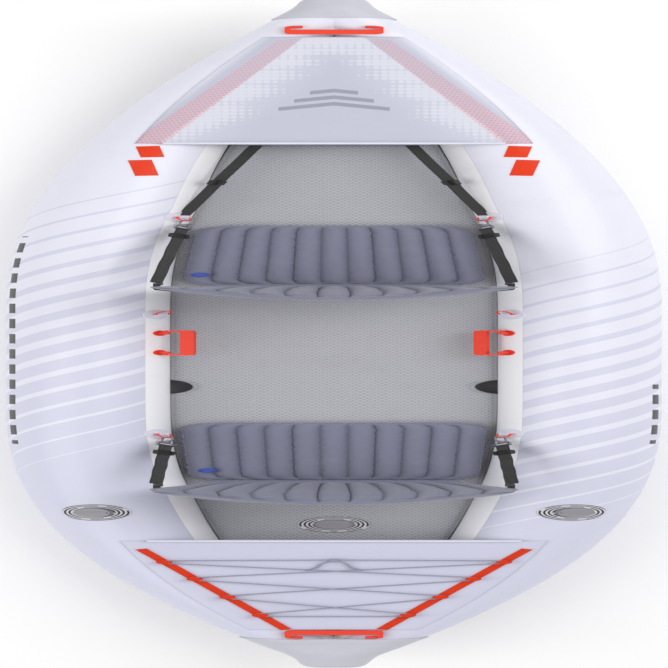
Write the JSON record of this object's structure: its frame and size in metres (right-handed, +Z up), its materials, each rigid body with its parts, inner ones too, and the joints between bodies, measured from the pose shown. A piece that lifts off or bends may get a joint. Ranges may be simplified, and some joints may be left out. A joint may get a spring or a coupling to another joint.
{
  "type": "inflatable kayak",
  "caption": "Tandem inflatable kayak with side tubes, air floor, laced stern deck, footrest and folding padded seats held by hooked straps.",
  "frame": {"origin": "on the flat of the bottom, amidships and on the centre line", "axes": "+Z up, +Y towards the stern, +X to port (seen from above with the bow up, port is on the left)"},
  "size_m": [0.8404, 3.7, 0.4868],
  "materials": {
    "hull_pvc": "satin",
    "floor_pvc": "textured",
    "cap_pvc": "satin",
    "orange_rubber": "satin",
    "cord_grey": "braided",
    "seat_fabric": "woven",
    "webbing_black": "woven",
    "blue_valve": "satin",
    "black_plastic": "satin",
    "valve_plastic": "satin",
    "dark_steel": "satin",
    "red_steel": "gloss"
  },
  "bodies": {
    "hull": {"port_side_tube": "hull_pvc", "starboard_side_tube": "hull_pvc", "bottom_skin": "floor_pvc", "air_floor": "floor_pvc", "bow_deck": "hull_pvc", "stern_deck": "hull_pvc", "deck_battens": "black_plastic", "bow_nose_cap": "cap_pvc", "stern_nose_cap": "cap_pvc", "port_lacing_rail": "orange_rubber", "starboard_lacing_rail": "orange_rubber", "bungee_cord": "cord_grey", "bungee_knot": "cord_grey", "corner_patches": "orange_rubber", "side_labels": "orange_rubber", "d_ring_patches": "orange_rubber", "handle_anchors": "orange_rubber", "valve_surrounds": "hull_pvc", "valve_bodies": "valve_plastic", "fin_box": "black_plastic", "front_cushion": "seat_fabric", "rear_cushion": "seat_fabric", "front_seat_straps": "webbing_black", "rear_seat_straps": "webbing_black", "snap_hooks": "dark_steel", "footrest_straps": "webbing_black", "seat_valves": "blue_valve"},
    "port_front_ring": {"port_front_ring": "red_steel"},
    "starboard_front_ring": {"starboard_front_ring": "red_steel"},
    "port_middle_ring": {"port_middle_ring": "red_steel"},
    "starboard_middle_ring": {"starboard_middle_ring": "red_steel"},
    "port_rear_ring": {"port_rear_ring": "red_steel"},
    "starboard_rear_ring": {"starboard_rear_ring": "red_steel"},
    "bow_handle": {"bow_handle": "orange_rubber"},
    "stern_handle": {"stern_handle": "orange_rubber"},
    "port_handle": {"port_handle": "orange_rubber"},
    "starboard_handle": {"starboard_handle": "orange_rubber"},
    "port_valve_cap": {"port_valve_cap": "valve_plastic"},
    "port_valve_plunger": {"port_valve_plunger": "valve_plastic"},
    "starboard_valve_cap": {"starboard_valve_cap": "valve_plastic"},
    "starboard_valve_plunger": {"starboard_valve_plunger": "valve_plastic"},
    "floor_valve_cap": {"floor_valve_cap": "valve_plastic"},
    "floor_valve_plunger": {"floor_valve_plunger": "valve_plastic"},
    "front_backrest": {"front_backrest": "seat_fabric", "front_back_band": "webbing_black"},
    "port_front_gate": {"port_front_gate": "dark_steel"},
    "port_front_buckle": {"port_front_buckle": "black_plastic"},
    "starboard_front_gate": {"starboard_front_gate": "dark_steel"},
    "starboard_front_buckle": {"starboard_front_buckle": "black_plastic"},
    "rear_backrest": {"rear_backrest": "seat_fabric", "rear_back_band": "webbing_black"},
    "port_rear_gate": {"port_rear_gate": "dark_steel"},
    "port_rear_buckle": {"port_rear_buckle": "black_plastic"},
    "starboard_rear_gate": {"starboard_rear_gate": "dark_steel"},
    "starboard_rear_buckle": {"starboard_rear_buckle": "black_plastic"},
    "footrest_bar": {"footrest_bar": "seat_fabric"},
    "port_footrest_buckle": {"port_footrest_buckle": "black_plastic"},
    "starboard_footrest_buckle": {"starboard_footrest_buckle": "black_plastic"},
    "tracking_fin": {"tracking_fin": "black_plastic"}
  },
  "joints": [
    {"name": "port_front_ring_swing", "type": "hinge", "parent": "hull", "child": "port_front_ring", "pos_m": [0.1926, -0.65431, 0.16653], "axis": [-0.5299, 0, -0.848], "range_deg": [-4, 4]},
    {"name": "starboard_front_ring_swing", "type": "hinge", "parent": "hull", "child": "starboard_front_ring", "pos_m": [-0.1926, -0.65431, 0.16653], "axis": [-0.5299, 0, 0.848], "range_deg": [-4, 4]},
    {"name": "port_middle_ring_swing", "type": "hinge", "parent": "hull", "child": "port_middle_ring", "pos_m": [0.22019, -0.108, 0.16654], "axis": [-0.5299, 0, -0.848], "range_deg": [-18, 142]},
    {"name": "starboard_middle_ring_swing", "type": "hinge", "parent": "hull", "child": "starboard_middle_ring", "pos_m": [-0.22019, -0.108, 0.16654], "axis": [-0.5299, 0, 0.848], "range_deg": [-18, 142]},
    {"name": "port_rear_ring_swing", "type": "hinge", "parent": "hull", "child": "port_rear_ring", "pos_m": [0.2182, 0.55785, 0.16654], "axis": [-0.5299, 0, -0.848], "range_deg": [-4, 4]},
    {"name": "starboard_rear_ring_swing", "type": "hinge", "parent": "hull", "child": "starboard_rear_ring", "pos_m": [-0.2182, 0.55785, 0.16654], "axis": [-0.5299, 0, 0.848], "range_deg": [-4, 4]},
    {"name": "bow_handle_lift", "type": "hinge", "parent": "hull", "child": "bow_handle", "pos_m": [0, -1.69, 0.28756], "axis": [1, 0, 0], "range_deg": [0, 120]},
    {"name": "stern_handle_lift", "type": "hinge", "parent": "hull", "child": "stern_handle", "pos_m": [0, 1.68, 0.24863], "axis": [-1, 0, 0], "range_deg": [0, 120]},
    {"name": "port_handle_swing", "type": "hinge", "parent": "hull", "child": "port_handle", "pos_m": [0.21426, 0.05, 0.16087], "axis": [0, 1, 0], "range_deg": [-82, 91]},
    {"name": "starboard_handle_swing", "type": "hinge", "parent": "hull", "child": "starboard_handle", "pos_m": [-0.21426, 0.05, 0.16087], "axis": [0, -1, 0], "range_deg": [-24, 149]},
    {"name": "port_valve_cap_lift", "type": "slide", "parent": "hull", "child": "port_valve_cap", "axis": [0.2753, 0.0457, 0.9603], "range_m": [0, 0.045]},
    {"name": "port_valve_plunger_push", "type": "slide", "parent": "hull", "child": "port_valve_plunger", "axis": [-0.2753, -0.0457, -0.9603], "range_m": [0, 0.004], "stiffness_N_per_m": 300},
    {"name": "starboard_valve_cap_lift", "type": "slide", "parent": "hull", "child": "starboard_valve_cap", "axis": [-0.2753, 0.0457, 0.9603], "range_m": [0, 0.045]},
    {"name": "starboard_valve_plunger_push", "type": "slide", "parent": "hull", "child": "starboard_valve_plunger", "axis": [0.2753, -0.0457, -0.9603], "range_m": [0, 0.004], "stiffness_N_per_m": 300},
    {"name": "floor_valve_cap_lift", "type": "slide", "parent": "hull", "child": "floor_valve_cap", "axis": [0, -0.0715, 0.9974], "range_m": [0, 0.045]},
    {"name": "floor_valve_plunger_push", "type": "slide", "parent": "hull", "child": "floor_valve_plunger", "axis": [0, 0.0715, -0.9974], "range_m": [0, 0.004], "stiffness_N_per_m": 300},
    {"name": "front_backrest_fold", "type": "hinge", "parent": "hull", "child": "front_backrest", "pos_m": [0, -0.262, 0.1356], "axis": [1, 0, 0], "range_deg": [0, 52], "deforming": ["front_seat_straps"]},
    {"name": "port_front_gate_open", "type": "hinge", "parent": "hull", "child": "port_front_gate", "pos_m": [0.19614, -0.61388, 0.173], "axis": [-0.5397, 0.3909, -0.7457], "range_deg": [0, 20], "stiffness_Nm_per_rad": 0.02},
    {"name": "port_front_buckle_slide", "type": "slide", "parent": "hull", "child": "port_front_buckle", "axis": [0.0868, 0.9068, 0.4125], "range_m": [-0.02, 0.02]},
    {"name": "starboard_front_gate_open", "type": "hinge", "parent": "hull", "child": "starboard_front_gate", "pos_m": [-0.19614, -0.61388, 0.173], "axis": [-0.5397, -0.3909, 0.7457], "range_deg": [0, 20], "stiffness_Nm_per_rad": 0.02},
    {"name": "starboard_front_buckle_slide", "type": "slide", "parent": "hull", "child": "starboard_front_buckle", "axis": [-0.0868, 0.9068, 0.4125], "range_m": [-0.02, 0.02]},
    {"name": "rear_backrest_fold", "type": "hinge", "parent": "hull", "child": "rear_backrest", "pos_m": [0, 0.838, 0.13572], "axis": [1, 0, 0], "range_deg": [0, 52], "deforming": ["rear_seat_straps"]},
    {"name": "port_rear_gate_open", "type": "hinge", "parent": "hull", "child": "port_rear_gate", "pos_m": [0.21829, 0.5972, 0.17712], "axis": [-0.5855, 0.4627, -0.6656], "range_deg": [0, 20], "stiffness_Nm_per_rad": 0.02},
    {"name": "port_rear_buckle_slide", "type": "slide", "parent": "hull", "child": "port_rear_buckle", "axis": [0.0366, 0.8353, 0.5485], "range_m": [-0.02, 0.008]},
    {"name": "starboard_rear_gate_open", "type": "hinge", "parent": "hull", "child": "starboard_rear_gate", "pos_m": [-0.21829, 0.5972, 0.17712], "axis": [-0.5855, -0.4627, 0.6656], "range_deg": [0, 20], "stiffness_Nm_per_rad": 0.02},
    {"name": "starboard_rear_buckle_slide", "type": "slide", "parent": "hull", "child": "starboard_rear_buckle", "axis": [-0.0366, 0.8353, 0.5485], "range_m": [-0.02, 0.008]},
    {"name": "footrest_bar_slide", "type": "slide", "parent": "hull", "child": "footrest_bar", "axis": [0, -0.9929, 0.1194], "range_m": [-0.025, 0.025], "deforming": ["footrest_straps"]},
    {"name": "port_footrest_buckle_slide", "type": "slide", "parent": "hull", "child": "port_footrest_buckle", "axis": [-0.2262, -0.9739, -0.0172], "range_m": [-0.02, 0.02]},
    {"name": "starboard_footrest_buckle_slide", "type": "slide", "parent": "hull", "child": "starboard_footrest_buckle", "axis": [0.2262, -0.9739, -0.0172], "range_m": [-0.02, 0.02]},
    {"name": "tracking_fin_slide", "type": "slide", "parent": "hull", "child": "tracking_fin", "axis": [0, 0.9783, 0.2071], "range_m": [0, 0.16]}
  ]
}
